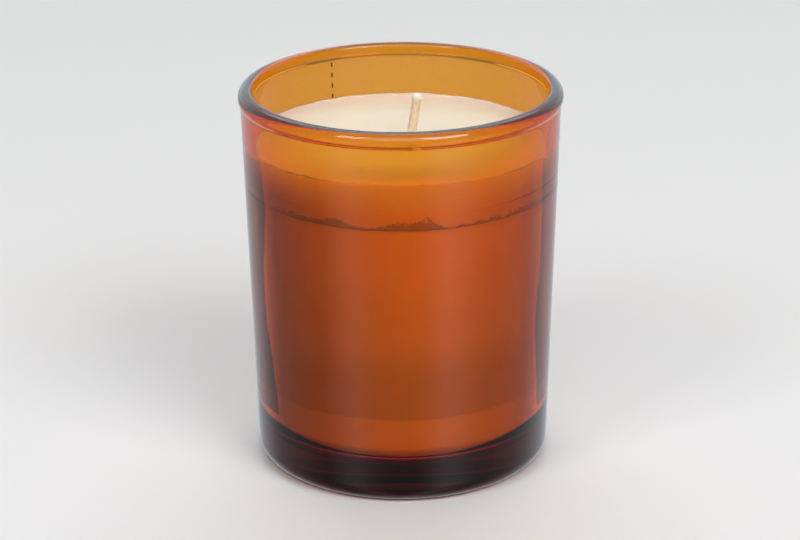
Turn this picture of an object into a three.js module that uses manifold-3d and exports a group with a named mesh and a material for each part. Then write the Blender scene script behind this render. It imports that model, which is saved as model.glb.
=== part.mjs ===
// A poured container candle: an amber glass tumbler that holds two pours of wax and one wick.
// Units are millimetres and +Z is up. The origin is the centre of the foot, on the plane that
// the tumbler stands on. Pieces that touch on the real candle are drawn one GAP apart.

import * as THREE from 'three';
import { mergeVertices } from 'three/addons/utils/BufferGeometryUtils.js';
import Module from 'manifold-3d';

const wasm = await Module();
wasm.setup();

// Tumbler, outside
const HEIGHT = 96.4;
const RIM_RADIUS = 40.0;
const LIP_RADIUS = 1.75;
const LIP_BEAD = 0.4;
const FOOT_WALL_RADIUS = 36.63;
const FOOT_ROUND = 4.8;
const RECESS_RADIUS = 29.5;
const RECESS_DEPTH = 1.0;

// Tumbler, inside
const FLOOR_THICKNESS = 8.2;
const WALL_AT_FOOT = 3.2;
const WALL_AT_RIM = 3.0;
const HEEL_RADIUS = 7.0;

// Wax
const POUR_LINE = 71.5;
const WAX_TOP = 83.0;
const MENISCUS_HEIGHT = 0.3;
const MENISCUS_WIDTH = 1.6;

// Wick, and the metal foot and sticker that hold it to the glass
const WICK_RADIUS = 1.25;
const WICK_TIP = 94.0;
const WICK_OFFSET_AT_SURFACE = 2.5;
const WICK_OFFSET_AT_TIP = 4.2;
const STICKER_RADIUS = 9.0;
const STICKER_THICKNESS = 0.8;
const PLATE_RADIUS = 10.0;
const PLATE_THICKNESS = 0.4;
const NECK_HEIGHT = 5.5;
const NECK_WALL = 0.4;
const NECK_FLARE = 1.2;

// Fits and facets
const GAP = 0.3;
const TURN_SEGMENTS = 64;
const ARC_FACET = Math.PI / 8;
const RECESS_STEPS = 4;
const WICK_SIDES = 12;
const WICK_STEPS = 14;

// Heights and radii that follow from the stack on the tumbler's floor
const STICKER_BOTTOM = FLOOR_THICKNESS + GAP;
const STICKER_TOP = STICKER_BOTTOM + STICKER_THICKNESS;
const PLATE_BOTTOM = STICKER_TOP + GAP;
const PLATE_TOP = PLATE_BOTTOM + PLATE_THICKNESS;
const NECK_TOP = PLATE_BOTTOM + NECK_HEIGHT;
const NECK_BORE = WICK_RADIUS + GAP;
const NECK_RADIUS = NECK_BORE + NECK_WALL;
const HEEL_TOP = FLOOR_THICKNESS + HEEL_RADIUS;
const HEEL_CENTRE = boreRadius(HEEL_TOP) - HEEL_RADIUS;

// The outer wall is a straight taper from the foot to the rim.
function wallRadius(z) {
  return FOOT_WALL_RADIUS + (RIM_RADIUS - LIP_BEAD - FOOT_WALL_RADIUS) * z / HEIGHT;
}

// The bore follows the outer wall, a little thinner towards the rim.
function boreRadius(z) {
  return wallRadius(z) - WALL_AT_FOOT + (WALL_AT_FOOT - WALL_AT_RIM) * z / HEIGHT;
}

// A point of an outline: its distance from the axis, and its height.
function at(r, z) {
  return new THREE.Vector2(r, z);
}

function arc(centreR, centreZ, radius, from, to) {
  const count = Math.round(Math.abs(to - from) / ARC_FACET);
  const points = [];
  for (let i = 0; i <= count; i += 1) {
    const angle = from + (to - from) * i / count;
    points.push(at(centreR + radius * Math.cos(angle), centreZ + radius * Math.sin(angle)));
  }
  return points;
}

// Turns an outline about the Z axis.
function turned(outline) {
  return new THREE.LatheGeometry(outline, TURN_SEGMENTS).rotateX(Math.PI / 2);
}

// One closed solid for a boolean, with its shared vertices merged and slivers dropped.
function solid(geometry) {
  const bare = geometry.clone();
  bare.deleteAttribute('normal');
  bare.deleteAttribute('uv');
  const merged = mergeVertices(bare, 1e-4);
  const index = merged.index.array;
  const triangles = [];
  for (let i = 0; i < index.length; i += 3) {
    const [a, b, c] = [index[i], index[i + 1], index[i + 2]];
    if (a !== b && b !== c && c !== a) triangles.push(a, b, c);
  }
  return new wasm.Manifold(new wasm.Mesh({
    numProp: 3,
    vertProperties: new Float32Array(merged.attributes.position.array),
    triVerts: new Uint32Array(triangles),
  }));
}

function geometryOf(manifold) {
  const mesh = manifold.getMesh();
  const geometry = new THREE.BufferGeometry();
  geometry.setAttribute('position', new THREE.BufferAttribute(mesh.vertProperties, 3));
  geometry.setIndex(new THREE.BufferAttribute(mesh.triVerts, 1));
  geometry.computeVertexNormals();
  return geometry;
}

// The underside is a shallow dish inside the ring that the tumbler stands on.
function recess() {
  const points = [];
  for (let i = 0; i <= RECESS_STEPS; i += 1) {
    const share = i / RECESS_STEPS;
    points.push(at(share * RECESS_RADIUS, RECESS_DEPTH * (1 - share * share)));
  }
  return points;
}

// Thick-based tumbler with a dished underside, a rounded foot and a rolled lip.
function tumblerGeometry() {
  const footCentre = wallRadius(FOOT_ROUND) - FOOT_ROUND;
  const lipCentre = RIM_RADIUS - LIP_RADIUS;
  const lipMiddle = HEIGHT - LIP_RADIUS;
  const lipStart = HEIGHT - 3 * LIP_RADIUS;
  return turned([
    ...recess(),
    ...arc(footCentre, FOOT_ROUND, FOOT_ROUND, -Math.PI / 2, 0),
    at(wallRadius(lipStart), lipStart),
    ...arc(lipCentre, lipMiddle, LIP_RADIUS, -Math.PI / 4, Math.PI),
    at(boreRadius(lipStart), lipStart),
    ...arc(HEEL_CENTRE, HEEL_TOP, HEEL_RADIUS, 0, -Math.PI / 2),
    at(0, FLOOR_THICKNESS),
  ]);
}

// The wick rises from its metal foot on the axis and leans over more once it is out of the wax.
function wickLine() {
  return new THREE.CatmullRomCurve3([
    new THREE.Vector3(0, 0, PLATE_BOTTOM),
    new THREE.Vector3(0, 0, NECK_TOP + GAP),
    new THREE.Vector3(0.4 * WICK_OFFSET_AT_SURFACE, 0, (NECK_TOP + WAX_TOP) / 2),
    new THREE.Vector3(WICK_OFFSET_AT_SURFACE, 0, WAX_TOP),
    new THREE.Vector3(WICK_OFFSET_AT_TIP, 0, WICK_TIP),
  ]);
}

function cordGeometry(radius) {
  const section = new THREE.Shape();
  for (let i = 0; i < WICK_SIDES; i += 1) {
    const angle = 2 * Math.PI * i / WICK_SIDES;
    const corner = [radius * Math.cos(angle), radius * Math.sin(angle)];
    if (i === 0) section.moveTo(...corner);
    else section.lineTo(...corner);
  }
  return new THREE.ExtrudeGeometry(section, { steps: WICK_STEPS, extrudePath: wickLine() });
}

function wickHole() {
  return solid(cordGeometry(WICK_RADIUS + GAP));
}

// Clearance for the sticker, the plate and the neck, open at the wax's underside.
function footPocket() {
  return solid(turned([
    at(0, FLOOR_THICKNESS),
    at(PLATE_RADIUS + GAP, FLOOR_THICKNESS),
    at(PLATE_RADIUS + GAP, PLATE_TOP + GAP),
    at(NECK_RADIUS + NECK_FLARE + GAP, PLATE_TOP + GAP),
    at(NECK_RADIUS + GAP, PLATE_TOP + NECK_FLARE + GAP),
    at(NECK_RADIUS + GAP, NECK_TOP + GAP),
    at(0, NECK_TOP + GAP),
  ]));
}

// The first pour fills the tumbler's floor and heel and stops at the pour line.
function firstPourGeometry() {
  const top = POUR_LINE - GAP / 2;
  const body = turned([
    at(0, FLOOR_THICKNESS + GAP),
    ...arc(HEEL_CENTRE, HEEL_TOP, HEEL_RADIUS - GAP, -Math.PI / 2, 0),
    at(boreRadius(top) - GAP, top),
    at(0, top),
  ]);
  return geometryOf(solid(body).subtract(wickHole()).subtract(footPocket()));
}

// The second pour tops the wax up, and creeps a little way up the glass.
function topPourGeometry() {
  const bottom = POUR_LINE + GAP / 2;
  const edge = boreRadius(WAX_TOP) - GAP;
  const body = turned([
    at(0, bottom),
    at(boreRadius(bottom) - GAP, bottom),
    at(edge, WAX_TOP + MENISCUS_HEIGHT),
    at(edge - MENISCUS_WIDTH, WAX_TOP),
    at(0, WAX_TOP),
  ]);
  return geometryOf(solid(body).subtract(wickHole()));
}

// Stamped metal foot: a flat plate drawn up into a neck that grips the wick.
function sustainerGeometry() {
  return turned([
    at(NECK_BORE, PLATE_BOTTOM),
    at(PLATE_RADIUS, PLATE_BOTTOM),
    at(PLATE_RADIUS, PLATE_TOP),
    at(NECK_RADIUS + NECK_FLARE, PLATE_TOP),
    at(NECK_RADIUS, PLATE_TOP + NECK_FLARE),
    at(NECK_RADIUS, NECK_TOP),
    at(NECK_BORE, NECK_TOP),
    at(NECK_BORE, PLATE_BOTTOM),
  ]);
}

function stickerGeometry() {
  return turned([
    at(0, STICKER_BOTTOM),
    at(STICKER_RADIUS, STICKER_BOTTOM),
    at(STICKER_RADIUS, STICKER_TOP),
    at(0, STICKER_TOP),
  ]);
}

const amberGlass = new THREE.MeshStandardMaterial({ color: '#b4692a', roughness: 0.05 });
const wax = new THREE.MeshStandardMaterial({ color: '#e5d8bf', roughness: 0.5 });
const cotton = new THREE.MeshStandardMaterial({ color: '#d2b08a', roughness: 0.85 });
const tinplate = new THREE.MeshStandardMaterial({ color: '#b9bcbe', roughness: 0.35, metalness: 1 });
const foam = new THREE.MeshStandardMaterial({ color: '#efece4', roughness: 0.9 });

const candle = new THREE.Group();

function place(name, geometry, material) {
  const mesh = new THREE.Mesh(geometry, material);
  mesh.name = name;
  candle.add(mesh);
}

place('glass_jar', tumblerGeometry(), amberGlass);
place('wax_first_pour', firstPourGeometry(), wax);
place('wax_top_pour', topPourGeometry(), wax);
place('wick', cordGeometry(WICK_RADIUS), cotton);
place('wick_sustainer', sustainerGeometry(), tinplate);
place('wick_sticker', stickerGeometry(), foam);

export default candle;
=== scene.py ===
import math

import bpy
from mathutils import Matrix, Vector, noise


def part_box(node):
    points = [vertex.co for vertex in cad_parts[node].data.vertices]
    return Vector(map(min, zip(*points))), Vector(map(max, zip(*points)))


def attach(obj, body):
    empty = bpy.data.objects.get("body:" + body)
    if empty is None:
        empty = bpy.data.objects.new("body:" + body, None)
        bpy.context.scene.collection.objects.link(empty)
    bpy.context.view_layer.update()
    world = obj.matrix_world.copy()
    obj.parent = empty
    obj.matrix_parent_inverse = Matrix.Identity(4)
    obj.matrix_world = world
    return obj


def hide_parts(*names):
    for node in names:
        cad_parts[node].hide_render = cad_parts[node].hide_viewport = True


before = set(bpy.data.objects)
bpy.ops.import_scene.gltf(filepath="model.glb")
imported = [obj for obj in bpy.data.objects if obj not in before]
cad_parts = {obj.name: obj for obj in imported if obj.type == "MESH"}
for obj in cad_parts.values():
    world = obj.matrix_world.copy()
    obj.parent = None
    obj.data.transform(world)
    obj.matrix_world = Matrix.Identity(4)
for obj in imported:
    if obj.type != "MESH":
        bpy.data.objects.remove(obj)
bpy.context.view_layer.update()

# Looks of a poured container candle: an amber glass tumbler, two pours of wax, and a braided wick
# in its metal foot. Every piece stands where its CAD node stands. Metres, +Z up, and the camera
# looks along +Y from the -Y side, so azimuth 0 is the side that faces it.

MM = 0.001
DEGREE = math.pi / 180

# ---------------------------------------------------------------------------------------------
# Sizes that the frame gives
# ---------------------------------------------------------------------------------------------

JAR_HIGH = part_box("glass_jar")[1]
FIRST_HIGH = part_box("wax_first_pour")[1]
TOP_LOW, TOP_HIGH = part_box("wax_top_pour")
WICK_LOW, WICK_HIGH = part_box("wick")
PLATE_LOW, PLATE_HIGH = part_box("wick_sustainer")
STICKER_LOW, STICKER_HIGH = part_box("wick_sticker")

HEIGHT = JAR_HIGH.z
RIM_RADIUS = JAR_HIGH.x
POUR_LINE = (FIRST_HIGH.z + TOP_LOW.z) / 2
PLATE_RADIUS = PLATE_HIGH.x
STICKER_RADIUS = STICKER_HIGH.x

# Tumbler section, as in the CAD, but the fire-polished lip has its crest close to the bore and
# falls away outwards in one wide curve.
LIP_RADIUS = 1.75 * MM
LIP_OUTSIDE = 2.35 * MM
LIP_INSIDE = 1.15 * MM
LIP_BEAD = 0.4 * MM
FOOT_WALL_RADIUS = 36.63 * MM
FOOT_ROUND = 4.8 * MM
RECESS_RADIUS = 29.5 * MM
RECESS_DEPTH = 1.0 * MM
FLOOR_THICKNESS = 8.2 * MM
WALL_AT_FOOT = 3.2 * MM
WALL_AT_RIM = 3.0 * MM
HEEL_RADIUS = 7.0 * MM
LIP_START = HEIGHT - 3 * LIP_RADIUS
BEAD_START = HEIGHT - 4.3 * MM
HEEL_TOP = FLOOR_THICKNESS + HEEL_RADIUS
RECESS_STEPS = 15
BORE_WAVINESS = 0.05 * MM

# Wax. A thin film of air between wax and glass is what makes set wax look bright orange, and
# turns the heavy base dark. Along both sides the wax clings to the glass with no film.
FILM = 0.08 * MM
POUR_CRACK = 0.02 * MM
# Where clinging begins and ends, in degrees from the front, and how far those borders wander
CLING_START = (57, 64)
CLING_END = (112, 122)
START_WANDER = 8
END_WANDER = 34
WANDER_AROUND = 48
WANDER_UP = 34
CLING_OVERLAP = 0.012 * MM
MENISCUS_HEIGHT = 0.3 * MM
MENISCUS_WIDTH = 1.6 * MM
WAX_TOP = TOP_HIGH.z - MENISCUS_HEIGHT
TOP_UNEVENNESS = 0.10 * MM
EDGE_RAGGEDNESS = 0.22 * MM
WICK_GRIP = 1.18 * MM

# Wick and its foot
WICK_OFFSET_AT_SURFACE = 2.5 * MM
WICK_OFFSET_AT_TIP = 4.2 * MM
TUFT_HEIGHT = 1.7 * MM
NECK_WALL = 0.4 * MM
NECK_BORE = 1.55 * MM
NECK_FLARE = 1.2 * MM
PLATE_THICKNESS = 0.4 * MM

# How many segments a turned piece has
TUMBLER_SEGMENTS = 256
FIRST_POUR_SEGMENTS = 192
TOP_POUR_SEGMENTS = 384
SMALL_SEGMENTS = 96
TUFT_SEGMENTS = 40


def taper_radius(z):
    """Radius of the tumbler's outer wall at a height."""
    return FOOT_WALL_RADIUS + (RIM_RADIUS - LIP_BEAD - FOOT_WALL_RADIUS) * z / HEIGHT


def bore_radius(z):
    """Radius of the tumbler's inner wall at a height."""
    return taper_radius(z) - WALL_AT_FOOT + (WALL_AT_FOOT - WALL_AT_RIM) * z / HEIGHT


def smooth_step(value, start, end):
    share = min(1.0, max(0.0, (value - start) / (end - start)))
    return share * share * (3 - 2 * share)


def clinging(x, y, z):
    """1 where the wax clings to the glass with no air between them, 0 where it does not."""
    turn = abs(math.atan2(x, -y)) / DEGREE
    wander = noise.noise(Vector((x * WANDER_AROUND, y * WANDER_AROUND, z * WANDER_UP)))
    sides = smooth_step(turn + START_WANDER * wander, *CLING_START)
    sides *= 1 - smooth_step(turn + END_WANDER * wander, *CLING_END)
    return sides * smooth_step(z, HEEL_TOP, HEEL_TOP + 1 * MM)


def wick_offset(z):
    """How far the wick's centre line has moved along +X at a height."""
    neck_top = PLATE_HIGH.z
    if z <= neck_top:
        return 0.0
    if z <= WAX_TOP:
        return WICK_OFFSET_AT_SURFACE * ((z - neck_top) / (WAX_TOP - neck_top)) ** 3
    share = (z - WAX_TOP) / (WICK_HIGH.z - WAX_TOP)
    return WICK_OFFSET_AT_SURFACE + (WICK_OFFSET_AT_TIP - WICK_OFFSET_AT_SURFACE) * share


# ---------------------------------------------------------------------------------------------
# Outlines: lists of (radius, height)
# ---------------------------------------------------------------------------------------------

def arc(centre, radius, start, end, count):
    """Points on a circle from one angle to another, in degrees."""
    points = []
    for i in range(count + 1):
        angle = (start + (end - start) * i / count) * DEGREE
        points.append((centre[0] + radius * math.cos(angle), centre[1] + radius * math.sin(angle)))
    return points


def line(start, end, count):
    """Points strictly between two points."""
    points = []
    for i in range(1, count + 1):
        share = i / (count + 1)
        points.append((start[0] + (end[0] - start[0]) * share, start[1] + (end[1] - start[1]) * share))
    return points


def blend_curve(start, start_way, end, end_way, count):
    """Points strictly between two points, on a curve that leaves and arrives along two directions."""
    points = []
    for i in range(1, count + 1):
        t = i / (count + 1)
        s = 1 - t
        point = []
        for k in (0, 1):
            a = start[k]
            b = start[k] + start_way[k]
            c = end[k] - end_way[k]
            d = end[k]
            point.append(s ** 3 * a + 3 * s * s * t * b + 3 * s * t * t * c + t ** 3 * d)
        points.append(tuple(point))
    return points


def tumbler_outline():
    """Half section of the tumbler, from the middle of the underside round to the middle of the floor."""
    recess = []
    for i in range(RECESS_STEPS + 1):
        share = i / RECESS_STEPS
        recess.append((share * RECESS_RADIUS, RECESS_DEPTH * (1 - share * share)))
    foot_centre = (taper_radius(FOOT_ROUND) - FOOT_ROUND, FOOT_ROUND)
    foot = arc(foot_centre, FOOT_ROUND, -90, -2, 14)
    wall_end = (taper_radius(BEAD_START), BEAD_START)
    lip_outside = arc((RIM_RADIUS - LIP_OUTSIDE, HEIGHT - LIP_OUTSIDE), LIP_OUTSIDE, -28, 90, 30)
    lip_inside = arc((RIM_RADIUS - LIP_OUTSIDE, HEIGHT - LIP_INSIDE), LIP_INSIDE, 90, 165, 15)
    lip = lip_outside + lip_inside[1:]
    bore_end = (bore_radius(LIP_START), LIP_START)
    heel_centre = (bore_radius(HEEL_TOP) - HEEL_RADIUS, HEEL_TOP)
    heel = arc(heel_centre, HEEL_RADIUS, 0, -90, 24)
    into_lip = blend_curve(wall_end, (0, 0.35 * MM), lip[0], (0.18 * MM, 0.34 * MM), 5)
    out_of_lip = blend_curve(lip[-1], (-0.3 * MM, -1.1 * MM), bore_end, (0, -1.2 * MM), 9)
    return (
        recess + line(recess[-1], foot[0], 2) + foot + line(foot[-1], wall_end, 14) + [wall_end]
        + into_lip + lip + out_of_lip + [bore_end] + line(bore_end, heel[0], 22) + heel
        + line(heel[-1], (0, FLOOR_THICKNESS), 10) + [(0, FLOOR_THICKNESS)]
    )


# ---------------------------------------------------------------------------------------------
# Meshes
# ---------------------------------------------------------------------------------------------

def new_piece(name, points, faces, material):
    mesh = bpy.data.meshes.new(name)
    mesh.from_pydata([tuple(point) for point in points], [], faces)
    mesh.materials.append(material)
    mesh.polygons.foreach_set("use_smooth", [True] * len(mesh.polygons))
    mesh.update()
    piece = bpy.data.objects.new(name, mesh)
    bpy.context.scene.collection.objects.link(piece)
    return piece


def turned(outline, segments, shift=None):
    """Points and faces of an outline turned about Z. It starts and ends on the axis."""
    points = [Vector((0, 0, outline[0][1])), Vector((0, 0, outline[-1][1]))]
    middle = outline[1:-1]
    for radius, z in middle:
        for s in range(segments):
            angle = 2 * math.pi * s / segments
            point = Vector((radius * math.cos(angle), radius * math.sin(angle), z))
            points.append(shift(point) if shift else point)
    faces = []
    for s in range(segments):
        after = (s + 1) % segments
        faces.append((0, 2 + after, 2 + s))
        last = 2 + (len(middle) - 1) * segments
        faces.append((1, last + s, last + after))
        for ring in range(len(middle) - 1):
            low = 2 + ring * segments
            high = low + segments
            faces.append((low + s, low + after, high + after, high + s))
    return points, faces


def ring_body(rings, segments, shift=None):
    """Points and faces of a closed loop of rings, each (radius, z, centre x), with a hole through it."""
    points = []
    for radius, z, centre in rings:
        for s in range(segments):
            angle = 2 * math.pi * s / segments
            point = Vector((centre + radius * math.cos(angle), radius * math.sin(angle), z))
            points.append(shift(point) if shift else point)
    faces = []
    count = len(rings)
    for ring in range(count):
        low = ring * segments
        high = ((ring + 1) % count) * segments
        for s in range(segments):
            after = (s + 1) % segments
            faces.append((low + s, low + after, high + after, high + s))
    return points, faces


def append_mesh(points, faces, more_points, more_faces):
    """Adds one mesh to another in place."""
    base = len(points)
    points.extend(more_points)
    faces.extend(tuple(index + base for index in face) for face in more_faces)


def tube(line_points, sides, across, outward):
    """A tube of oval section along points. across and outward give its half widths at each point."""
    points = []
    count = len(line_points)
    for i, (centre, side, out) in enumerate(line_points):
        for k in range(sides):
            angle = 2 * math.pi * k / sides
            points.append(centre + side * across(i, count) * math.cos(angle)
                          + out * outward(i, count) * math.sin(angle))
    faces = []
    for i in range(count - 1):
        for k in range(sides):
            after = (k + 1) % sides
            faces.append((i * sides + k, i * sides + after, (i + 1) * sides + after, (i + 1) * sides + k))
    faces.append(tuple(reversed(range(sides))))
    faces.append(tuple((count - 1) * sides + k for k in range(sides)))
    return points, faces


def noise_at(x, y, z, scale, seed):
    """Smooth noise from -1 to 1. scale is in waves per metre."""
    return noise.noise(Vector((x * scale + seed, y * scale - seed, z * scale + 2 * seed)))


# ---------------------------------------------------------------------------------------------
# Materials
# ---------------------------------------------------------------------------------------------

class Tree:
    """A material's node tree, with short calls for the nodes used here."""

    def __init__(self, name):
        self.material = bpy.data.materials.new(name)
        self.material.use_nodes = True
        self.nodes = self.material.node_tree.nodes
        self.links = self.material.node_tree.links
        self.shader = self.nodes["Principled BSDF"]
        self.output = self.nodes["Material Output"]
        self.coordinates = None

    def link(self, source, target):
        if hasattr(source, "is_output"):
            self.links.new(source, target)
        else:
            target.default_value = source

    def math(self, operation, first, second=None, clamp=False):
        node = self.nodes.new("ShaderNodeMath")
        node.operation = operation
        node.use_clamp = clamp
        self.link(first, node.inputs[0])
        if second is not None:
            self.link(second, node.inputs[1])
        return node.outputs[0]

    def smooth(self, value, start, end, low=0.0, high=1.0):
        """A smooth step of value, from low at start to high at end."""
        node = self.nodes.new("ShaderNodeMapRange")
        node.interpolation_type = "SMOOTHSTEP"
        self.link(value, node.inputs["Value"])
        self.link(start, node.inputs["From Min"])
        self.link(end, node.inputs["From Max"])
        node.inputs["To Min"].default_value = low
        node.inputs["To Max"].default_value = high
        return node.outputs["Result"]

    def position(self):
        """X, Y and Z of the point, in metres."""
        if self.coordinates is None:
            place = self.nodes.new("ShaderNodeTexCoord")
            split = self.nodes.new("ShaderNodeSeparateXYZ")
            self.links.new(place.outputs["Object"], split.inputs[0])
            self.coordinates = (place.outputs["Object"], split.outputs)
        return self.coordinates

    def noise(self, scale, detail=3.0, roughness=0.5, stretch=None):
        """Noise from about 0 to 1. scale is in waves per metre, and stretch scales each axis."""
        node = self.nodes.new("ShaderNodeTexNoise")
        node.inputs["Scale"].default_value = scale
        node.inputs["Detail"].default_value = detail
        node.inputs["Roughness"].default_value = roughness
        place, _ = self.position()
        if stretch:
            mapping = self.nodes.new("ShaderNodeMapping")
            mapping.inputs["Scale"].default_value = stretch
            self.links.new(place, mapping.inputs["Vector"])
            place = mapping.outputs["Vector"]
        self.links.new(place, node.inputs["Vector"])
        return node.outputs["Fac"]

    def specks(self, spacing, size):
        """1 inside small scattered dots, 0 outside. Both sizes are in metres."""
        node = self.nodes.new("ShaderNodeTexVoronoi")
        node.inputs["Scale"].default_value = 1 / spacing
        self.links.new(self.position()[0], node.inputs["Vector"])
        picked = self.math("GREATER_THAN", node.outputs["Color"], 0.55)
        return self.math("MULTIPLY", self.smooth(node.outputs["Distance"], size / spacing, 0.0), picked)

    def ramp(self, value, stops):
        node = self.nodes.new("ShaderNodeValToRGB")
        elements = node.color_ramp.elements
        while len(elements) > 1:
            elements.remove(elements[0])
        for i, (place, shade) in enumerate(stops):
            stop = elements[0] if i == 0 else elements.new(place)
            stop.position = place
            stop.color = (shade, shade, shade, 1)
        self.link(value, node.inputs["Fac"])
        return node.outputs["Color"]

    def mix(self, share, first, second, blend="MIX"):
        node = self.nodes.new("ShaderNodeMix")
        node.data_type = "RGBA"
        node.blend_type = blend
        self.link(share, node.inputs[0])
        self.link(first, node.inputs[6])
        self.link(second, node.inputs[7])
        return node.outputs[2]

    def bump(self, height, distance):
        node = self.nodes.new("ShaderNodeBump")
        node.inputs["Strength"].default_value = 1.0
        node.inputs["Distance"].default_value = distance
        self.links.new(height, node.inputs["Height"])
        self.links.new(node.outputs["Normal"], self.shader.inputs["Normal"])

    def azimuth(self):
        """Azimuth of the point about Z in degrees, 0 facing -Y and growing towards +X."""
        _, (x, y, _) = self.position()
        angle = self.math("ARCTAN2", x, self.math("MULTIPLY", y, -1.0))
        return self.math("DIVIDE", angle, DEGREE)

    def turn(self):
        """The azimuth from 0 to 1, for a ramp of degree_stops."""
        return self.math("DIVIDE", self.math("ADD", self.azimuth(), 180.0), 360.0)

    def radius(self):
        _, (x, y, _) = self.position()
        squares = self.math("ADD", self.math("MULTIPLY", x, x), self.math("MULTIPLY", y, y))
        return self.math("SQRT", squares)


def degree_stops(profile, full):
    """Stops of a ramp over -180 to 180 degrees, from (degrees, value), with full as white."""
    return [((degrees + 180) / 360, value / full) for degrees, value in profile]


# Amber: how strongly a metre of the glass takes away red, green and blue
AMBER_ABSORPTION = (50.0, 322.0, 1180.0)


def amber_glass():
    tree = Tree("amber_glass")
    shader = tree.shader
    shader.inputs["Base Color"].default_value = (1, 1, 1, 1)
    shader.inputs["Transmission Weight"].default_value = 1.0
    shader.inputs["IOR"].default_value = 1.52
    _, (_, _, z) = tree.position()
    # Handling marks: barely hazy patches, and fine scuffs round the ring that it stands on
    haze = tree.smooth(tree.noise(45, 4, 0.6), 0.62, 0.8, 0.0, 0.035)
    foot = tree.smooth(z, 1.2 * MM, 0.0, 0.0, 1.0)
    scuffs = tree.math("MULTIPLY", tree.smooth(tree.noise(1600, 2), 0.5, 0.65, 0.0, 0.25), foot)
    tree.links.new(tree.math("ADD", haze, scuffs), shader.inputs["Roughness"])
    tree.bump(tree.noise(70, 2, 0.4, (1, 1, 0.45)), 0.012 * MM)
    volume = tree.nodes.new("ShaderNodeVolumeAbsorption")
    strongest = max(AMBER_ABSORPTION) / 0.999
    volume.inputs["Density"].default_value = strongest
    volume.inputs["Color"].default_value = [1 - share / strongest for share in AMBER_ABSORPTION] + [1]
    tree.links.new(volume.outputs[0], tree.output.inputs["Volume"])
    return tree.material


WAX_COLOUR = (0.83, 0.76, 0.62, 1)
WAX_AT_EDGE = (0.83, 0.74, 0.66, 1)
# Painted light: the colour the wax's side turns to just below its top edge, as if lit through its top
# surface
PAINTED_GLOW_UNDER_TOP_EDGE = (0.80, 0.98, 0.86, 1)
# What is left of the wax's red, green and blue where it is darker: where it sticks to the glass, in the
# band low down, and painted shade further down its side
STUCK_SHADE = (0.50, 0.60, 0.85, 1)
BAND_SHADE = (0.76, 0.80, 0.94, 1)
# Painted shade: the side darker further down, where less light reaches it through the top
PAINTED_SHADE_LOWER_DOWN = (0.78, 0.92, 1.0, 1)

# How high wax sticks to the glass above the pour line, in millimetres, by azimuth
STUCK_HEIGHT = [
    (-180, 1.0), (-150, 0.0), (-130, 0.5), (-100, 1.4), (-62, 1.0), (-50, 1.5), (-34, 1.4),
    (-25, 2.3), (-19, 1.1), (-12, 0.6), (-8, 1.2), (-4, 1.9), (4, 2.2), (10, 2.9), (14, 1.6),
    (17, 0.0), (20, 0.0), (22, 1.0), (25, 0.9), (26, 0.0), (28, 0.9), (32, 1.1), (33, 0.0),
    (35, 1.3), (39, 1.2), (41, 0.2), (44, 1.4), (55, 1.7), (70, 1.2), (95, 0.2), (130, 0.9), (180, 1.0),
]
STUCK_HEIGHT_FULL = 3.0

# The same for a thinner line above it, and for the wax's top edge
UPPER_LINE = [(-180, 0.0), (-64, 0.3), (-45, 0.25), (-38, 0.0), (24, 0.0), (30, 0.2), (40, 0.15),
              (50, 0.55), (72, 0.45), (100, 0.0), (180, 0.0)]
EDGE_LINE = [(-180, 0.1), (-52, 0.1), (-44, 0.35), (-38, 0.55), (-33, 0.3), (-22, 0.1), (38, 0.05),
             (46, 0.35), (56, 0.5), (68, 0.45), (90, 0.1), (180, 0.1)]
LINE_FULL = 0.6

# Painted shade: how much of its colour the wax's side keeps behind the glass, by azimuth; darker towards
# both sides, which the front lights reach less
PAINTED_SHADE_BY_AZIMUTH = [
    (-180, 0.62), (-150, 0.70), (-120, 0.70), (-90, 0.85), (-70, 0.70), (-63, 0.42), (-56, 0.29),
    (-48, 0.45), (-43, 0.54), (-31, 0.69), (-19, 0.85), (-8, 0.93), (2, 0.97), (10, 1.0), (18, 1.0),
    (28, 0.93), (40, 0.84), (50, 0.74), (57, 0.50), (63, 0.50), (70, 0.85), (90, 0.90), (120, 0.70),
    (150, 0.66), (180, 0.62),
]

# The darker band low down: where it starts, and where it fades out above
BAND_BOTTOM = 21.6 * MM
BAND_FADE = (31 * MM, 44 * MM)


def stuck_stripe(tree, profile, full, low_edge):
    """1 where wax is stuck between a height and an uneven one above it, given by azimuth."""
    _, (_, _, z) = tree.position()
    share = tree.ramp(tree.turn(), degree_stops(profile, full))
    ragged = tree.math("SUBTRACT", tree.math("MULTIPLY", tree.noise(1100, 5, 0.75), 3.4), 0.75)
    height = tree.math("MULTIPLY", tree.math("MULTIPLY", share, ragged), full * MM)
    above = tree.math("SUBTRACT", z, low_edge)
    wobble = tree.math("MULTIPLY", tree.math("SUBTRACT", tree.noise(300, 2), 0.5), 0.5 * MM)
    above = tree.math("ADD", above, wobble)
    soft = 0.12 * MM
    from_below = tree.smooth(above, 0.0, soft)
    room = tree.math("SUBTRACT", height, above)
    from_above = tree.smooth(room, 0.0, soft)
    return tree.math("MULTIPLY", from_below, from_above)


def multiplied(tree, share, colour, shade):
    """The colour multiplied by a shade, where share is 1."""
    return tree.mix(share, colour, tree.mix(1.0, colour, shade, "MULTIPLY"))


def wax_depth(tree):
    """How far a point is inside the bore's wall."""
    _, (_, _, z) = tree.position()
    slope = (bore_radius(HEIGHT) - bore_radius(0)) / HEIGHT
    wall = tree.math("ADD", tree.math("MULTIPLY", z, slope), bore_radius(0))
    return tree.math("SUBTRACT", wall, tree.radius())


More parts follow.
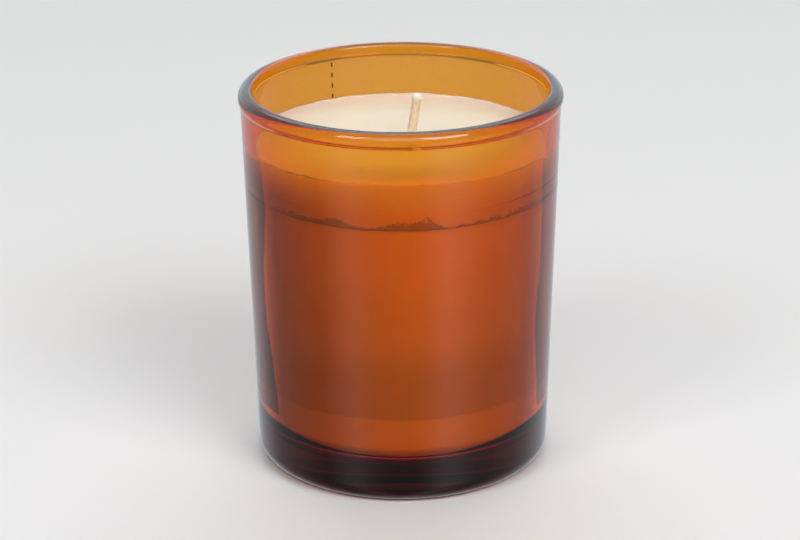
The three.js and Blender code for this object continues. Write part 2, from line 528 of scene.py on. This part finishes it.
def side_of_wax(tree, colour, at_wall):
    """The wax's side as it shows behind the glass, with painted light and shade: paler under its edge,
    darker round and down.
    """
    _, (_, _, z) = tree.position()
    # Painted shade by azimuth, which fades in below the top edge, next to the glass
    painted_side_dimming = tree.ramp(tree.turn(), degree_stops(PAINTED_SHADE_BY_AZIMUTH, 1.0))
    behind_glass = tree.smooth(z, WAX_TOP + 0.2 * MM, WAX_TOP - 9 * MM)
    painted_side_dimming = tree.mix(tree.math("MULTIPLY", behind_glass, at_wall), (1, 1, 1, 1), painted_side_dimming)
    # Painted light: paler just below the top edge, next to the glass
    painted_glow_share = tree.math("MULTIPLY", tree.smooth(z, WAX_TOP - 9 * MM, WAX_TOP - 2 * MM), at_wall)
    colour = tree.mix(painted_glow_share, colour, PAINTED_GLOW_UNDER_TOP_EDGE)
    colour = tree.mix(1.0, colour, painted_side_dimming, "MULTIPLY")
    # Painted shade: darker further down the side, next to the glass
    painted_shade_down = tree.smooth(z, WAX_TOP - 12 * MM, WAX_TOP - 42 * MM, 0.0, 0.8)
    return multiplied(tree, tree.math("MULTIPLY", painted_shade_down, at_wall), colour, PAINTED_SHADE_LOWER_DOWN)


def stuck_wax(tree, at_wall):
    """1 where wax sticks to the glass: at the pour line, above it, at the top edge and in specks."""
    pour = stuck_stripe(tree, STUCK_HEIGHT, STUCK_HEIGHT_FULL, POUR_LINE)
    upper = stuck_stripe(tree, UPPER_LINE, LINE_FULL, POUR_LINE + 3.6 * MM)
    edge = stuck_stripe(tree, EDGE_LINE, LINE_FULL, WAX_TOP - 0.25 * MM)
    stuck = tree.math("MAXIMUM", pour, tree.math("MAXIMUM", upper, edge))
    specks = tree.math("MULTIPLY", tree.specks(6.5 * MM, 0.45 * MM), 0.7)
    return tree.math("MULTIPLY", tree.math("MAXIMUM", stuck, specks), at_wall)


def lower_band(tree, at_wall):
    """1 in the darker band low down, which fades upwards."""
    _, (_, _, z) = tree.position()
    band_edge = tree.math("MULTIPLY", tree.math("SUBTRACT", tree.noise(60, 2), 0.5), 1.2 * MM)
    band_z = tree.math("ADD", z, band_edge)
    from_below = tree.smooth(band_z, BAND_BOTTOM, BAND_BOTTOM + 0.8 * MM)
    from_above = tree.smooth(band_z, BAND_FADE[1], BAND_FADE[0])
    return tree.math("MULTIPLY", tree.math("MULTIPLY", from_below, from_above), at_wall)


def wax(name):
    tree = Tree(name)
    shader = tree.shader
    depth = wax_depth(tree)
    at_wall = tree.smooth(depth, 0.9 * MM, 0.45 * MM)
    # Cream wax: cloudy at a large scale, paler towards its edge
    cloud = tree.smooth(tree.noise(55, 3), 0.3, 0.7, 0.0, 1.0)
    colour = tree.mix(cloud, WAX_COLOUR, [0.97 * part for part in WAX_COLOUR[:3]] + [1])
    colour = tree.mix(tree.smooth(depth, 7 * MM, 1 * MM, 0.0, 0.6), colour, WAX_AT_EDGE)
    # The side behind the glass, with painted light under its top edge and painted shade round and down
    colour = side_of_wax(tree, colour, at_wall)
    colour = multiplied(tree, lower_band(tree, at_wall), colour, BAND_SHADE)
    colour = multiplied(tree, stuck_wax(tree, at_wall), colour, STUCK_SHADE)
    tree.links.new(colour, shader.inputs["Base Color"])
    tree.links.new(tree.smooth(tree.noise(400, 3), 0.3, 0.7, 0.38, 0.55), shader.inputs["Roughness"])
    shader.inputs["Subsurface Weight"].default_value = 1.0
    shader.inputs["Subsurface Radius"].default_value = (1.0, 0.75, 0.5)
    shader.inputs["Subsurface Scale"].default_value = 4 * MM
    shader.inputs["IOR"].default_value = 1.44
    tree.bump(tree.noise(900, 4, 0.6), 0.02 * MM)
    return tree.material


def wick_cotton():
    tree = Tree("wick_cotton")
    shader = tree.shader
    _, (_, _, z) = tree.position()
    fibre = tree.noise(2600, 3, 0.6, (1, 1, 0.3))
    colour = tree.mix(tree.smooth(fibre, 0.3, 0.7), (0.78, 0.58, 0.37, 1), (0.90, 0.74, 0.53, 1))
    tip = tree.smooth(z, WICK_HIGH.z - TUFT_HEIGHT, WICK_HIGH.z - 0.8 * TUFT_HEIGHT)
    colour = tree.mix(tip, colour, (0.93, 0.88, 0.80, 1))
    tree.links.new(colour, shader.inputs["Base Color"])
    tree.links.new(tree.smooth(fibre, 0.2, 0.8, 0.6, 0.85), shader.inputs["Roughness"])
    shader.inputs["Sheen Weight"].default_value = 0.15
    tree.bump(fibre, 0.05 * MM)
    return tree.material


def tinplate():
    tree = Tree("tinplate")
    shader = tree.shader
    spangle = tree.noise(700, 3)
    colour = tree.mix(spangle, (0.52, 0.52, 0.53, 1), (0.72, 0.72, 0.71, 1))
    tree.links.new(colour, shader.inputs["Base Color"])
    tree.links.new(tree.smooth(spangle, 0.3, 0.7, 0.25, 0.42), shader.inputs["Roughness"])
    shader.inputs["Metallic"].default_value = 1.0
    tree.bump(tree.noise(3000, 2), 0.006 * MM)
    return tree.material


def sticker_foam():
    tree = Tree("sticker_foam")
    shader = tree.shader
    cells = tree.noise(4500, 2, 0.5)
    colour = tree.mix(cells, (0.72, 0.71, 0.67, 1), (0.88, 0.87, 0.84, 1))
    tree.links.new(colour, shader.inputs["Base Color"])
    tree.links.new(tree.smooth(cells, 0.3, 0.7, 0.8, 0.95), shader.inputs["Roughness"])
    tree.bump(cells, 0.06 * MM)
    return tree.material


def printed_ink():
    tree = Tree("printed_ink")
    shader = tree.shader
    grain = tree.noise(5000, 3)
    colour = tree.mix(grain, (0.030, 0.016, 0.012, 1), (0.065, 0.034, 0.022, 1))
    tree.links.new(colour, shader.inputs["Base Color"])
    tree.links.new(tree.smooth(grain, 0.3, 0.7, 0.45, 0.65), shader.inputs["Roughness"])
    tree.bump(grain, 0.01 * MM)
    return tree.material


def pale_floor():
    tree = Tree("pale_floor")
    shader = tree.shader
    cloud = tree.noise(3, 3)
    colour = tree.mix(cloud, (0.80, 0.80, 0.80, 1), (0.82, 0.82, 0.82, 1))
    tree.links.new(colour, shader.inputs["Base Color"])
    shader.inputs["Roughness"].default_value = 0.7
    return tree.material


# ---------------------------------------------------------------------------------------------
# Pieces
# ---------------------------------------------------------------------------------------------

def keep(piece, slot, *nodes):
    """Ties a finished piece to the CAD frame."""
    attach(piece, "root")
    if nodes:
        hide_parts(*nodes)
    return piece


def glass_tumbler():
    def uneven_bore(point):
        reach = math.hypot(point.x, point.y)
        inside = point.z > HEEL_TOP and reach < bore_radius(point.z) + 0.1 * MM and point.z < LIP_START
        if not inside:
            return point
        fade = min(1.0, (point.z - HEEL_TOP) / (6 * MM), (LIP_START - point.z) / (6 * MM))
        swell = noise_at(point.x, point.y, 0.6 * point.z, 42, 3.1) * fade * BORE_WAVINESS
        swell *= 1 - clinging(point.x, point.y, point.z)
        scale = (reach + swell) / reach
        return Vector((point.x * scale, point.y * scale, point.z))

    points, faces = turned(tumbler_outline(), TUMBLER_SEGMENTS, uneven_bore)
    return keep(new_piece("glass_tumbler", points, faces, amber_glass()), "amber_glass", "glass_jar")


def centred(outline):
    """Rings of an outline whose centre moves from the wick to the tumbler's axis as they grow."""
    rings = []
    for radius, z in outline:
        share = min(1.0, max(0.0, 1 - (radius - WICK_GRIP) / (12 * MM)))
        rings.append((radius, z, wick_offset(z) * share))
    return rings


def cling(point):
    """Moves a point of the wax's side on to the glass where the wax clings to it."""
    reach = math.hypot(point.x, point.y)
    if reach < bore_radius(point.z) - FILM - 0.01 * MM or point.z < HEEL_TOP:
        return point
    scale = 1 + (FILM + CLING_OVERLAP) * clinging(point.x, point.y, point.z) / reach
    return Vector((point.x * scale, point.y * scale, point.z))


def wax_first_pour():
    crown = POUR_LINE - POUR_CRACK / 2
    floor = FLOOR_THICKNESS + FILM
    neck = NECK_BORE + NECK_WALL + 0.05 * MM
    plate_roof = PLATE_LOW.z + PLATE_THICKNESS + 0.05 * MM
    neck_roof = PLATE_HIGH.z + 0.05 * MM
    rim = PLATE_RADIUS + 0.1 * MM
    heel_centre = (bore_radius(HEEL_TOP) - HEEL_RADIUS, HEEL_TOP)
    heel = arc(heel_centre, HEEL_RADIUS - FILM, -90, 0, 20)
    wall_top = (bore_radius(crown) - FILM, crown)
    hole_top = (WICK_GRIP, crown)
    outline = (
        [(rim, floor)] + line((rim, floor), heel[0], 8) + heel + line(heel[-1], wall_top, 40)
        + [(wall_top[0], wall_top[1] - 0.05 * MM), (wall_top[0] - 0.05 * MM, crown)]
        + line(wall_top, hole_top, 20) + [hole_top] + line(hole_top, (WICK_GRIP, neck_roof), 30)
        + [(WICK_GRIP, neck_roof), (neck, neck_roof), (neck, plate_roof + NECK_FLARE)]
        + [(neck + NECK_FLARE, plate_roof), (rim, plate_roof)]
    )
    points, faces = ring_body(centred(outline), FIRST_POUR_SEGMENTS, cling)
    piece = new_piece("wax_first_pour_body", points, faces, WAX)
    return keep(piece, "wax", "wax_first_pour")


def wax_top_pour():
    base = POUR_LINE + POUR_CRACK / 2
    edge_radius = bore_radius(WAX_TOP) - FILM
    foot = (bore_radius(base) - FILM, base)
    hole_foot = (WICK_GRIP, base)
    rim = (edge_radius, WAX_TOP + 0.7 * MENISCUS_HEIGHT)
    lip = [(edge_radius - 0.08 * MM, WAX_TOP + 0.95 * MENISCUS_HEIGHT)]
    meniscus = []
    for i in range(1, 9):
        share = i / 8
        meniscus.append((edge_radius - 0.2 * MM - MENISCUS_WIDTH * share,
                         WAX_TOP + MENISCUS_HEIGHT * (1 - share) ** 2))
    # The wax also climbs a little way up the wick
    collar = []
    for i in range(9):
        share = i / 8
        collar.append((WICK_GRIP + 1.6 * MM * (1 - share), WAX_TOP + 0.45 * MM * share ** 2.5))
    flat = line(meniscus[-1], collar[0], 56)
    outline = (
        [hole_foot] + line(hole_foot, foot, 12) + [foot] + line(foot, rim, 24) + [rim] + lip
        + meniscus + flat + collar + line(collar[-1], hole_foot, 8)
    )

    def unevenness(point):
        reach = math.hypot(point.x, point.y)
        height = (point.z - base) / (WAX_TOP - base)
        point = cling(point)
        if height <= 0.02:
            return point
        lift = noise_at(point.x, point.y, 0, 75, 5.7) * TOP_UNEVENNESS
        lift += noise_at(point.x, point.y, 0, 260, 1.3) * 0.25 * TOP_UNEVENNESS
        near_edge = max(0.0, 1 - (edge_radius - reach) / (1.2 * MM))
        chips = noise_at(point.x, point.y, 0, 620, 8.9)
        chips += 0.7 * noise_at(point.x, point.y, 0, 1500, 4.2)
        ragged = EDGE_RAGGEDNESS * chips * near_edge
        weight = height ** 6
        dip = 0.35 * MM * max(0.0, 1 - reach / (20 * MM)) ** 2
        inward = 0.0
        if height > 0.97:
            inward = 0.10 * MM * near_edge * max(0.0, chips)
        scale = (reach - inward) / reach if reach else 1.0
        return Vector((point.x * scale, point.y * scale, point.z + (lift + ragged - dip) * weight))

    points, faces = ring_body(centred(outline), TOP_POUR_SEGMENTS, unevenness)
    piece = new_piece("wax_top_pour_body", points, faces, WAX)
    return keep(piece, "wax", "wax_top_pour")


# Braided wick: yarns wind both ways round a core, each over one and under the next
BRAID_YARNS_EACH_WAY = 4
BRAID_TURN_LENGTH = 9.5 * MM
BRAID_RADIUS = 0.80 * MM
BRAID_OVERLAP = 0.07 * MM
YARN_ACROSS = 0.60 * MM
YARN_OUTWARD = 0.31 * MM
YARN_STEP = 0.35 * MM
CORE_RADIUS = 0.62 * MM
CORE_STEPS = 60
TUFT_FIBRES = 70
FIBRE_HALF_WIDTH = 0.035 * MM


def wick_centre(z):
    return Vector((wick_offset(z), 0, z))


def yarn_line(way, start_angle, low, high, steps):
    """Centre, sideways and outward directions along one yarn."""
    places = []
    for i in range(steps + 1):
        z = low + (high - low) * i / steps
        angle = start_angle + way * 2 * math.pi * (z - low) / BRAID_TURN_LENGTH
        out = Vector((math.cos(angle), math.sin(angle), 0))
        reach = BRAID_RADIUS + way * BRAID_OVERLAP * math.cos(BRAID_YARNS_EACH_WAY * angle)
        places.append((wick_centre(z) + out * reach, out))
    result = []
    for i, (centre, out) in enumerate(places):
        before = places[max(0, i - 1)][0]
        after = places[min(steps, i + 1)][0]
        along = (after - before).normalized()
        side = along.cross(out).normalized()
        result.append((centre, side, out))
    return result


def yarn_across(step, count):
    return YARN_ACROSS


def yarn_outward(step, count):
    return YARN_OUTWARD


def core_width(step, count):
    return CORE_RADIUS


def braided_wick():
    """A core with yarns wound round it both ways, and a cut end."""
    points, faces = [], []
    low = WICK_LOW.z
    high = WICK_HIGH.z - 0.55 * TUFT_HEIGHT
    steps = int((high - low) / YARN_STEP)
    for way in (-1, 1):
        for k in range(BRAID_YARNS_EACH_WAY):
            start = 2 * math.pi * k / BRAID_YARNS_EACH_WAY
            path = yarn_line(way, start, low, high, steps)
            append_mesh(points, faces, *tube(path, 10, yarn_across, yarn_outward))
    core = []
    for i in range(CORE_STEPS + 1):
        z = low + (high - low) * i / CORE_STEPS
        core.append((wick_centre(z), Vector((0, 1, 0)), Vector((1, 0, 0))))
    append_mesh(points, faces, *tube(core, 12, core_width, core_width))
    add_tuft(points, faces)
    return keep(new_piece("braided_wick", points, faces, wick_cotton()), "wick_cotton", "wick")


def fibre_width(step, count):
    """Half width of a loose fibre, which gets thinner towards its tip."""
    return FIBRE_HALF_WIDTH * (1 - 0.7 * step / (count - 1))


def add_tuft(points, faces):
    """The wick's cut end: a pale, matted cap with a few loose fibres."""
    bottom = WICK_HIGH.z - TUFT_HEIGHT
    middle = wick_centre(WICK_HIGH.z - 0.5 * TUFT_HEIGHT)
    outline = [(0, -0.5)]
    for i in range(1, 16):
        angle = math.pi * i / 16 - math.pi / 2
        outline.append((math.cos(angle) ** 0.55, 0.5 * math.sin(angle)))
    outline.append((0, 0.5))

    def matted(point):
        lump = 1 + 0.10 * noise_at(point.x, point.y, point.z, 2.1, 6.3)
        lump += 0.05 * noise_at(point.x, point.y, point.z, 6.5, 2.9)
        droop = -0.22 * max(0.0, point.x) * TUFT_HEIGHT
        return middle + Vector((point.x * lump * 1.36 * MM, point.y * lump * 1.26 * MM,
                                point.z * lump * TUFT_HEIGHT * 0.92 + droop))

    cap_points, cap_faces = turned(outline, TUFT_SEGMENTS, matted)
    cap_points[0] = middle + Vector((0, 0, -0.46 * TUFT_HEIGHT))
    cap_points[1] = middle + Vector((0, 0, 0.46 * TUFT_HEIGHT))
    append_mesh(points, faces, cap_points, cap_faces)
    golden_angle = math.pi * (3 - math.sqrt(5))
    for i in range(TUFT_FIBRES):
        angle = i * golden_angle
        rise = (i + 0.5) / TUFT_FIBRES
        out = Vector((math.cos(angle), math.sin(angle), 0))
        root = Vector((middle.x, 0, bottom + TUFT_HEIGHT * (0.15 + 0.75 * rise))) + out * 1.15 * MM
        spread = 0.8 + 0.4 * noise_at(i, 0, 0, 0.37, 1.1)
        way = (out * spread + Vector((0, 0, 0.9 * rise - 0.35))).normalized()
        bend = Vector((0, 0, 0.25 * noise_at(i, 0, 0, 0.71, 9.4)))
        length = (0.45 + 0.25 * noise_at(i, 0, 0, 0.53, 4.6)) * MM
        path = []
        for k in range(5):
            share = k / 4
            centre = root + (way + bend * share) * length * share
            side = Vector((-out.y, out.x, 0))
            path.append((centre, side, way.cross(side).normalized()))
        append_mesh(points, faces, *tube(path, 5, fibre_width, fibre_width))


def sustainer_plate():
    """The stamped metal foot: a plate with a pressed ring, and a neck crimped on to the wick."""
    low = PLATE_LOW.z
    half = PLATE_THICKNESS / 2
    edge = arc((PLATE_RADIUS - half, low + half), half, -90, 90, 8)
    neck_outer = NECK_BORE + NECK_WALL
    flare = arc((neck_outer + NECK_FLARE, low + PLATE_THICKNESS + NECK_FLARE), NECK_FLARE, -90, -180, 8)
    lip = arc((NECK_BORE + NECK_WALL / 2, PLATE_HIGH.z - NECK_WALL / 2), NECK_WALL / 2, 0, 180, 6)
    inner_flare = arc((NECK_BORE + 0.9 * NECK_FLARE, low + 0.9 * NECK_FLARE), 0.9 * NECK_FLARE, 180, 270, 8)
    outline = (
        line(inner_flare[-1], edge[0], 14) + edge + line(edge[-1], flare[0], 14) + flare
        + line(flare[-1], lip[0], 8) + lip + line(lip[-1], inner_flare[0], 8) + inner_flare
    )
    crimp_low = PLATE_HIGH.z - 3.0 * MM
    crimp_high = PLATE_HIGH.z - 0.8 * MM

    def pressed(point):
        reach = math.hypot(point.x, point.y)
        ring = 0.25 * MM * math.exp(-((reach - 0.66 * PLATE_RADIUS) / (0.6 * MM)) ** 2)
        if crimp_low < point.z < crimp_high and reach < neck_outer + 0.2 * MM:
            share = (point.z - crimp_low) / (crimp_high - crimp_low)
            angle = math.atan2(point.y, point.x)
            pinch = 0.16 * MM * math.sin(math.pi * share) ** 2 * max(0.0, math.cos(2 * angle)) ** 2
            scale = (reach - pinch) / reach
            return Vector((point.x * scale, point.y * scale, point.z))
        return Vector((point.x, point.y, point.z + ring))

    rings = [(radius, z, 0.0) for radius, z in outline]
    points, faces = ring_body(rings, SMALL_SEGMENTS, pressed)
    return keep(new_piece("sustainer_plate", points, faces, tinplate()), "tinplate", "wick_sustainer")


def sticker_disc():
    """The double-sided foam disc, with edges squeezed round and a slightly uneven cut."""
    low, high = STICKER_LOW.z, STICKER_HIGH.z
    round_radius = (high - low) / 2.6
    foot = arc((STICKER_RADIUS - round_radius, low + round_radius), round_radius, -90, 0, 6)
    top = arc((STICKER_RADIUS - round_radius, high - round_radius), round_radius, 0, 90, 6)
    underside = [(0, low)] + line((0, low), foot[0], 8)
    upper_side = line(top[-1], (0, high), 8) + [(0, high)]
    outline = underside + foot + top + upper_side

    def cut(point):
        reach = math.hypot(point.x, point.y)
        slack = 0.08 * MM * noise_at(point.x, point.y, 0, 180, 7.7) * (reach / STICKER_RADIUS) ** 4
        scale = (reach - abs(slack)) / reach
        return Vector((point.x * scale, point.y * scale, point.z))

    points, faces = turned(outline, SMALL_SEGMENTS, cut)
    return keep(new_piece("sticker_disc", points, faces, sticker_foam()), "sticker_foam", "wick_sticker")


# Short printed dashes, one above the other, on the outside of the back wall
DASH_COUNT = 4
DASH_AZIMUTH = -152.4
DASH_TOP = 91.6 * MM
DASH_PITCH = 2.8 * MM
DASH_LENGTH = 1.25 * MM
DASH_WIDTH = 0.48 * MM
INK_THICKNESS = 0.02 * MM


def ink_pad(azimuth, centre_z):
    """One rounded pad of ink that follows the glass."""
    columns, rows = 8, 14
    points, faces = [], []
    for skin in (0, 1):
        for row in range(rows + 1):
            for column in range(columns + 1):
                u = 2 * column / columns - 1
                v = 2 * row / rows - 1
                squeeze = (1 - abs(v) ** 6) ** 0.5 if abs(v) < 1 else 0.0
                across = u * DASH_WIDTH / 2 * (0.55 + 0.45 * squeeze)
                z = centre_z + v * DASH_LENGTH / 2
                rise = INK_THICKNESS * skin * (1 - 0.6 * max(abs(u), abs(v)) ** 4)
                reach = taper_radius(z) + 0.004 * MM + rise
                angle = azimuth * DEGREE + across / reach
                points.append(Vector((reach * math.sin(angle), -reach * math.cos(angle), z)))
    width = columns + 1
    skin_size = width * (rows + 1)
    for row in range(rows):
        for column in range(columns):
            a = row * width + column
            corner = (a, a + 1, a + width + 1, a + width)
            faces.append(tuple(reversed(corner)))
            faces.append(tuple(index + skin_size for index in corner))
    border = list(range(columns))
    border += [row * width + columns for row in range(rows)]
    border += [rows * width + column for column in range(columns, 0, -1)]
    border += [row * width for row in range(rows, 0, -1)]
    for i, a in enumerate(border):
        b = border[(i + 1) % len(border)]
        faces.append((a, b, b + skin_size, a + skin_size))
    return points, faces


def printed_dashes():
    points, faces = [], []
    for i in range(DASH_COUNT):
        append_mesh(points, faces, *ink_pad(DASH_AZIMUTH, DASH_TOP - i * DASH_PITCH))
    return keep(new_piece("printed_dashes", points, faces, printed_ink()), "printed_ink")


# ---------------------------------------------------------------------------------------------
# Floor, light and camera
# ---------------------------------------------------------------------------------------------

FLOOR_HALF = 20.0
FLOOR_STEPS = 8


def floor():
    """The surface that it stands on. Reflections come from the world instead."""
    points, faces = [], []
    for row in range(FLOOR_STEPS + 1):
        for column in range(FLOOR_STEPS + 1):
            x = (2 * column / FLOOR_STEPS - 1) * FLOOR_HALF
            y = (2 * row / FLOOR_STEPS - 1) * FLOOR_HALF
            points.append((x, y, 0))
    width = FLOOR_STEPS + 1
    for row in range(FLOOR_STEPS):
        for column in range(FLOOR_STEPS):
            a = row * width + column
            faces.append((a, a + 1, a + width + 1, a + width))
    piece = new_piece("floor", points, faces, pale_floor())
    piece.visible_glossy = False


# What the glass mirrors from below its own height, by azimuth: the lit floor and the studio's
# darker sides. It stands in for the floor in reflections.
MIRRORED_FLOOR = [
    (-180, 0.70), (-140, 0.70), (-116, 0.46), (-89, 0.32), (-62, 0.22), (-50, 0.42), (-42, 0.56),
    (-34, 0.54), (-24, 0.33), (-12, 0.23), (10, 0.22), (20, 0.36), (32, 0.68), (44, 0.64),
    (58, 0.38), (74, 0.31), (100, 0.45), (128, 0.74), (180, 0.78),
]
# The light tent: how bright it is at its sides and straight above
TENT_SIDE = 0.08
TENT_TOP = 0.30
# What the glass mirrors from above its own height, at the front, the sides and the back
MIRRORED_FRONT = 0.2
MIRRORED_SIDES = 0.9
MIRRORED_BACK = 1.2
MIRRORED_TINT = (0.93, 1.0, 1.06, 1)
UNDER_JAR_SHADE = 0.62
# What the camera sees past the end of the floor
HORIZON_SHADE = 0.62


class WorldTree(Tree):
    """The world's node tree, with the same short calls. Positions are directions there."""

    def __init__(self, name):
        world = bpy.data.worlds.new(name)
        world.use_nodes = True
        bpy.context.scene.world = world
        self.nodes = world.node_tree.nodes
        self.links = world.node_tree.links
        self.background = self.nodes["Background"]
        place = self.nodes.new("ShaderNodeTexCoord")
        split = self.nodes.new("ShaderNodeSeparateXYZ")
        self.links.new(place.outputs["Generated"], split.inputs[0])
        self.coordinates = (place.outputs["Generated"], split.outputs)


def grey(shade):
    return (shade, shade, shade, 1)


def studio_world():
    """A soft tent for light, and another picture of the studio for what the glass mirrors."""
    tree = WorldTree("studio")
    _, (_, y, z) = tree.position()
    below = tree.ramp(tree.turn(), degree_stops(MIRRORED_FLOOR, 1.0))
    # Almost straight down, the floor mirrored there is in the shade of the tumbler
    below = tree.mix(tree.smooth(z, -0.85, -0.45, UNDER_JAR_SHADE, 1.0), grey(0.0), below)
    above = tree.mix(tree.smooth(y, -0.2, 0.4), grey(MIRRORED_FRONT), grey(MIRRORED_SIDES))
    above = tree.mix(tree.smooth(y, 0.45, 0.85), above, grey(MIRRORED_BACK))
    mirrored = tree.mix(tree.smooth(z, -0.12, 0.02), below, above)
    mirrored = tree.mix(1.0, mirrored, MIRRORED_TINT, "MULTIPLY")
    # Light that has been scattered comes from the tent, and only mirror images from the rest
    light_path = tree.nodes.new("ShaderNodeLightPath")
    overhead = tree.math("POWER", tree.math("MAXIMUM", z, 0.0), 2.0)
    tent = tree.mix(overhead, grey(TENT_SIDE), grey(TENT_TOP))
    seen = tree.mix(light_path.outputs["Is Camera Ray"], tent, grey(HORIZON_SHADE))
    unscattered = tree.math("LESS_THAN", light_path.outputs["Diffuse Depth"], 0.5)
    in_mirror = tree.math("MULTIPLY", light_path.outputs["Is Glossy Ray"], unscattered)
    final = tree.mix(in_mirror, seen, mirrored)
    tree.links.new(final, tree.background.inputs["Color"])


def softbox(name, azimuth, elevation, distance, width, height, radiance):
    """A rectangular light that faces the object. radiance is what it looks like from there."""
    light = bpy.data.lights.new(name, "AREA")
    light.shape = "RECTANGLE"
    light.size = width
    light.size_y = height
    light.energy = radiance * math.pi * width * height
    a = azimuth * DEGREE
    e = elevation * DEGREE
    target = Vector((0, 0, HEIGHT / 2))
    way = Vector((math.sin(a) * math.cos(e), -math.cos(a) * math.cos(e), math.sin(e)))
    lamp = bpy.data.objects.new(name, light)
    lamp.location = target + way * distance
    lamp.rotation_euler = (-way).to_track_quat("-Z", "Y").to_euler()
    bpy.context.scene.collection.objects.link(lamp)


def lights():
    softbox("key_right", 36, 42, 1.6, 0.75, 0.55, 6.3)
    softbox("key_left", -41, 42, 1.6, 0.45, 0.55, 6.3)
    softbox("front_high", 10, 45, 2.2, 2.30, 1.60, 1.65)
    softbox("top_back", 180, 56, 2.5, 2.80, 1.60, 1.80)


CAMERA_DISTANCE = 0.70407
CAMERA_PITCH = 0.3621
CAMERA_YAW = -0.00066
CAMERA_TILT = -0.0005286
CAMERA_ROLL = 0.0067
PICTURE_WIDTH = 800
FOCAL_LENGTH = 2799.7
SENSOR = 36


def camera():
    """Looks down at the middle of the tumbler. The focal length is in the picture's own units."""
    data = bpy.data.cameras.new("camera")
    data.sensor_width = SENSOR
    data.lens = FOCAL_LENGTH * SENSOR / PICTURE_WIDTH
    data.clip_start = 0.01
    data.clip_end = 100
    cos_pitch, sin_pitch = math.cos(CAMERA_PITCH), math.sin(CAMERA_PITCH)
    place = Vector((0, -CAMERA_DISTANCE * cos_pitch, HEIGHT / 2 + CAMERA_DISTANCE * sin_pitch))
    forward = Vector((0, cos_pitch, -sin_pitch))
    right = Vector((1, 0, 0))
    view = Matrix((right, right.cross(forward), forward))
    yaw = Matrix.Rotation(CAMERA_YAW, 3, "Y").transposed()
    tilt = Matrix.Rotation(CAMERA_TILT, 3, "X")
    roll = Matrix.Rotation(CAMERA_ROLL, 3, "Z")
    x, y, z = roll @ tilt @ yaw @ view
    rig = bpy.data.objects.new("camera", data)
    bpy.context.scene.collection.objects.link(rig)
    rig.matrix_world = Matrix((
        (x[0], y[0], -z[0], place[0]),
        (x[1], y[1], -z[1], place[1]),
        (x[2], y[2], -z[2], place[2]),
        (0, 0, 0, 1),
    ))
    bpy.context.scene.camera = rig


def light_paths():
    """Room for light to pass through both walls, the wax and back."""
    scene = bpy.context.scene
    scene.view_settings.view_transform = "Standard"
    scene.cycles.max_bounces = 24
    scene.cycles.transmission_bounces = 24
    scene.cycles.diffuse_bounces = 8
    scene.cycles.glossy_bounces = 8
    scene.cycles.transparent_max_bounces = 16
    scene.cycles.caustics_reflective = True
    scene.cycles.caustics_refractive = True
    scene.cycles.blur_glossy = 0.0
    scene.cycles.sample_clamp_indirect = 10.0


camera()
WAX = wax("wax")
glass_tumbler()
wax_first_pour()
wax_top_pour()
braided_wick()
sustainer_plate()
sticker_disc()
printed_dashes()
floor()
studio_world()
lights()
light_paths()
